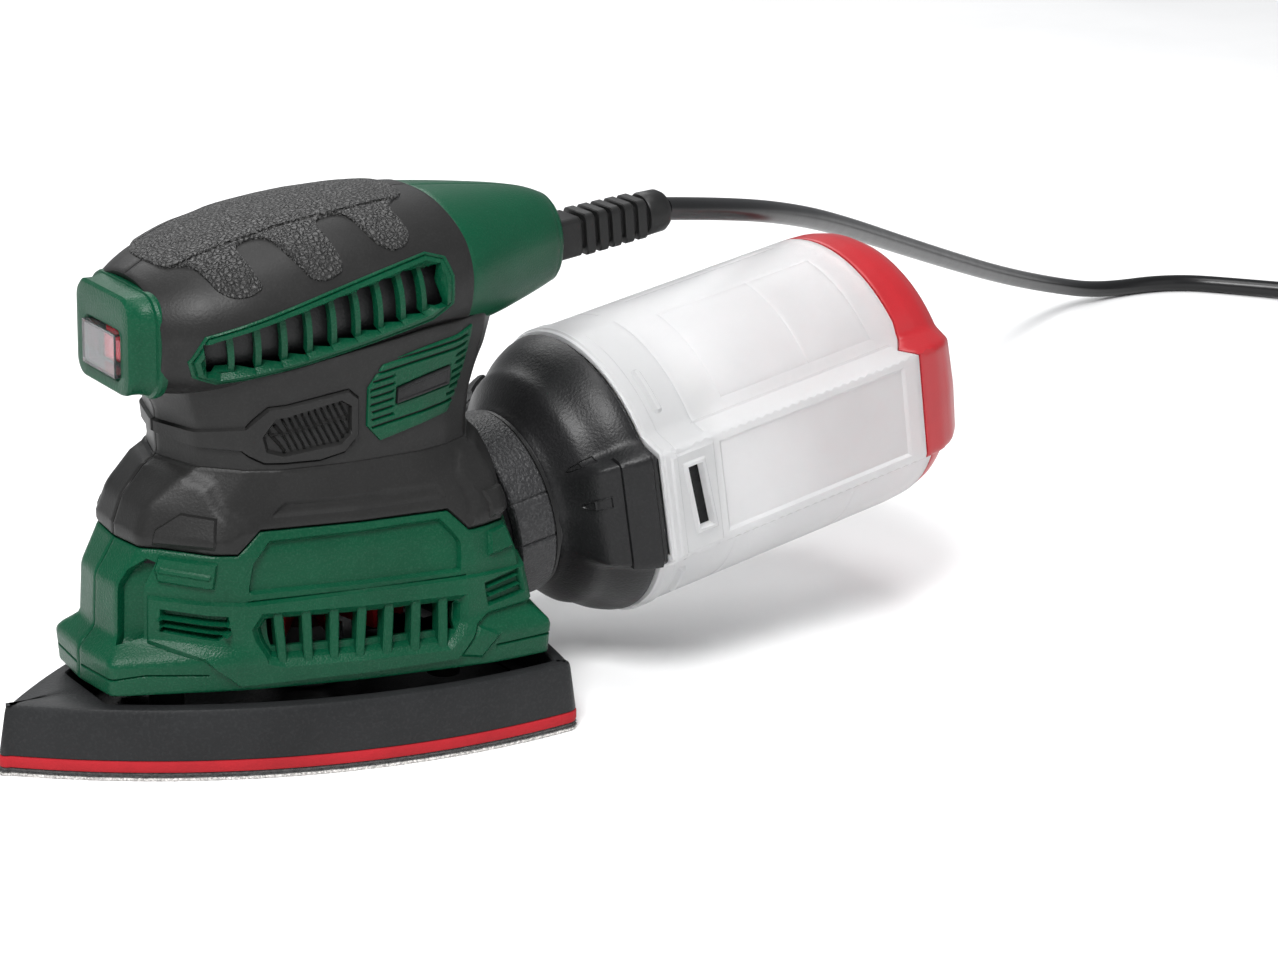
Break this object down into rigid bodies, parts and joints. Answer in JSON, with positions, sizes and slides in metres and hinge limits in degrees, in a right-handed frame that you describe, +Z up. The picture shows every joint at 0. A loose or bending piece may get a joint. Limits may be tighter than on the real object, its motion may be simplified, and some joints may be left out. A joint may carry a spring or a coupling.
{
  "type": "detail mouse sander",
  "caption": "Palm-grip detail sander with a pointed orbiting plate, front rocker switch, side vents and a removable dust box on a tilted collar.",
  "frame": {"origin": "centre of the sanding face, under the sheet", "axes": "+X towards the dust box, nose towards -X, +Z up through the handle"},
  "size_m": [0.7568, 0.2631, 0.1412],
  "materials": {
    "green_housing": "fine spark-textured moulded plastic",
    "soft_grip": "matt soft overmould",
    "palm_pad": "coarse leather-like soft pad",
    "plate_plastic": "fine matt moulded plastic",
    "red_foam": "dense red foam",
    "hook_pile": "short hook and loop pile",
    "abrasive": "grit coated paper",
    "black_plastic": "fine textured black plastic",
    "clear_cover": "clear soft cover",
    "switch_red": "glossy red",
    "switch_black": "matt",
    "laminated_steel": "stacked laminations",
    "bright_steel": "ground",
    "copper": "enamelled winding wire",
    "carbon": "graphite",
    "fan_red": "moulded red",
    "cast_zinc": "die cast",
    "black_rubber": "matt",
    "frosted_plastic": "frosted translucent",
    "cap_red": "matt moulded red",
    "filter_paper": "pleated paper",
    "cord_jacket": "smooth jacket",
    "tie_strap": "woven hook and loop",
    "nickel": "nickel plated",
    "screw_steel": "zinc plated"
  },
  "bodies": {
    "machine": {"housing_left": "green_housing", "housing_right": "green_housing", "handle_vent_left": "green_housing", "handle_vent_right": "green_housing", "rear_panel_left": "green_housing", "rear_panel_right": "green_housing", "switch_bezel": "green_housing", "screw_bosses": "green_housing", "grip_left": "soft_grip", "grip_right": "soft_grip", "shoulder_left": "soft_grip", "shoulder_right": "soft_grip", "palm_pad": "palm_pad", "base_plate": "plate_plastic", "dust_collar": "black_plastic", "dust_duct": "black_plastic", "bearing_plate": "black_plastic", "brush_holders": "black_plastic", "cord_clamp": "black_plastic", "switch_cover": "clear_cover", "switch_body": "switch_black", "stator_core": "laminated_steel", "lower_bearing": "bright_steel", "upper_bearing": "bright_steel", "rocker_pin": "bright_steel", "field_coils": "copper", "brush_left": "carbon", "brush_right": "carbon", "flexible_legs": "black_rubber", "strain_relief": "black_rubber", "cord_lead": "cord_jacket", "cord_coil": "cord_jacket", "cord_tail": "cord_jacket", "plug_body": "cord_jacket", "cord_tie": "tie_strap", "plug_pins": "nickel", "leg_screws": "screw_steel", "housing_screws": "screw_steel"},
    "motor": {"motor_shaft": "bright_steel", "rotor_core": "laminated_steel", "rotor_windings": "copper", "commutator": "copper", "fan": "fan_red", "eccentric": "cast_zinc"},
    "sole": {"sanding_plate": "plate_plastic", "foam_pad": "red_foam", "hook_layer": "hook_pile", "sanding_sheet": "abrasive", "eccentric_bearing": "bright_steel"},
    "rocker": {"rocker_switch": "switch_red"},
    "seal": {"adapter_seal": "black_rubber"},
    "adapter": {"dust_adapter": "black_plastic", "filter_frame": "black_plastic", "filter_pleats": "filter_paper"},
    "collector": {"dust_box": "frosted_plastic", "dust_cap": "cap_red"}
  },
  "joints": [
    {"name": "motor_spin", "type": "hinge", "parent": "machine", "child": "motor", "pos_m": [0.012, 0, 0.05], "axis": [0, 0, 1], "continuous": true},
    {"name": "sole_orbit", "type": "hinge", "parent": "motor", "child": "sole", "pos_m": [0.013, 0, 0.012], "axis": [0, 0, 1], "continuous": true},
    {"name": "rocker_tilt", "type": "hinge", "parent": "machine", "child": "rocker", "pos_m": [-0.0365, 0, 0.1075], "axis": [0, 0, 1], "range_deg": [0, 12]},
    {"name": "adapter_pull", "type": "slide", "parent": "machine", "child": "seal", "axis": [0.9842, 0, 0.1771], "range_m": [0, 0.06]},
    {"name": "adapter_twist", "type": "hinge", "parent": "seal", "child": "adapter", "pos_m": [0.0751, 0, 0.0479], "axis": [0.9842, 0, 0.1771], "range_deg": [0, 30]},
    {"name": "box_pull", "type": "slide", "parent": "adapter", "child": "collector", "axis": [0.9842, 0, 0.1771], "range_m": [0, 0.08]}
  ],
  "couplings": [
    {"joint": "sole_orbit", "follows": "motor_spin", "ratio": -1}
  ]
}
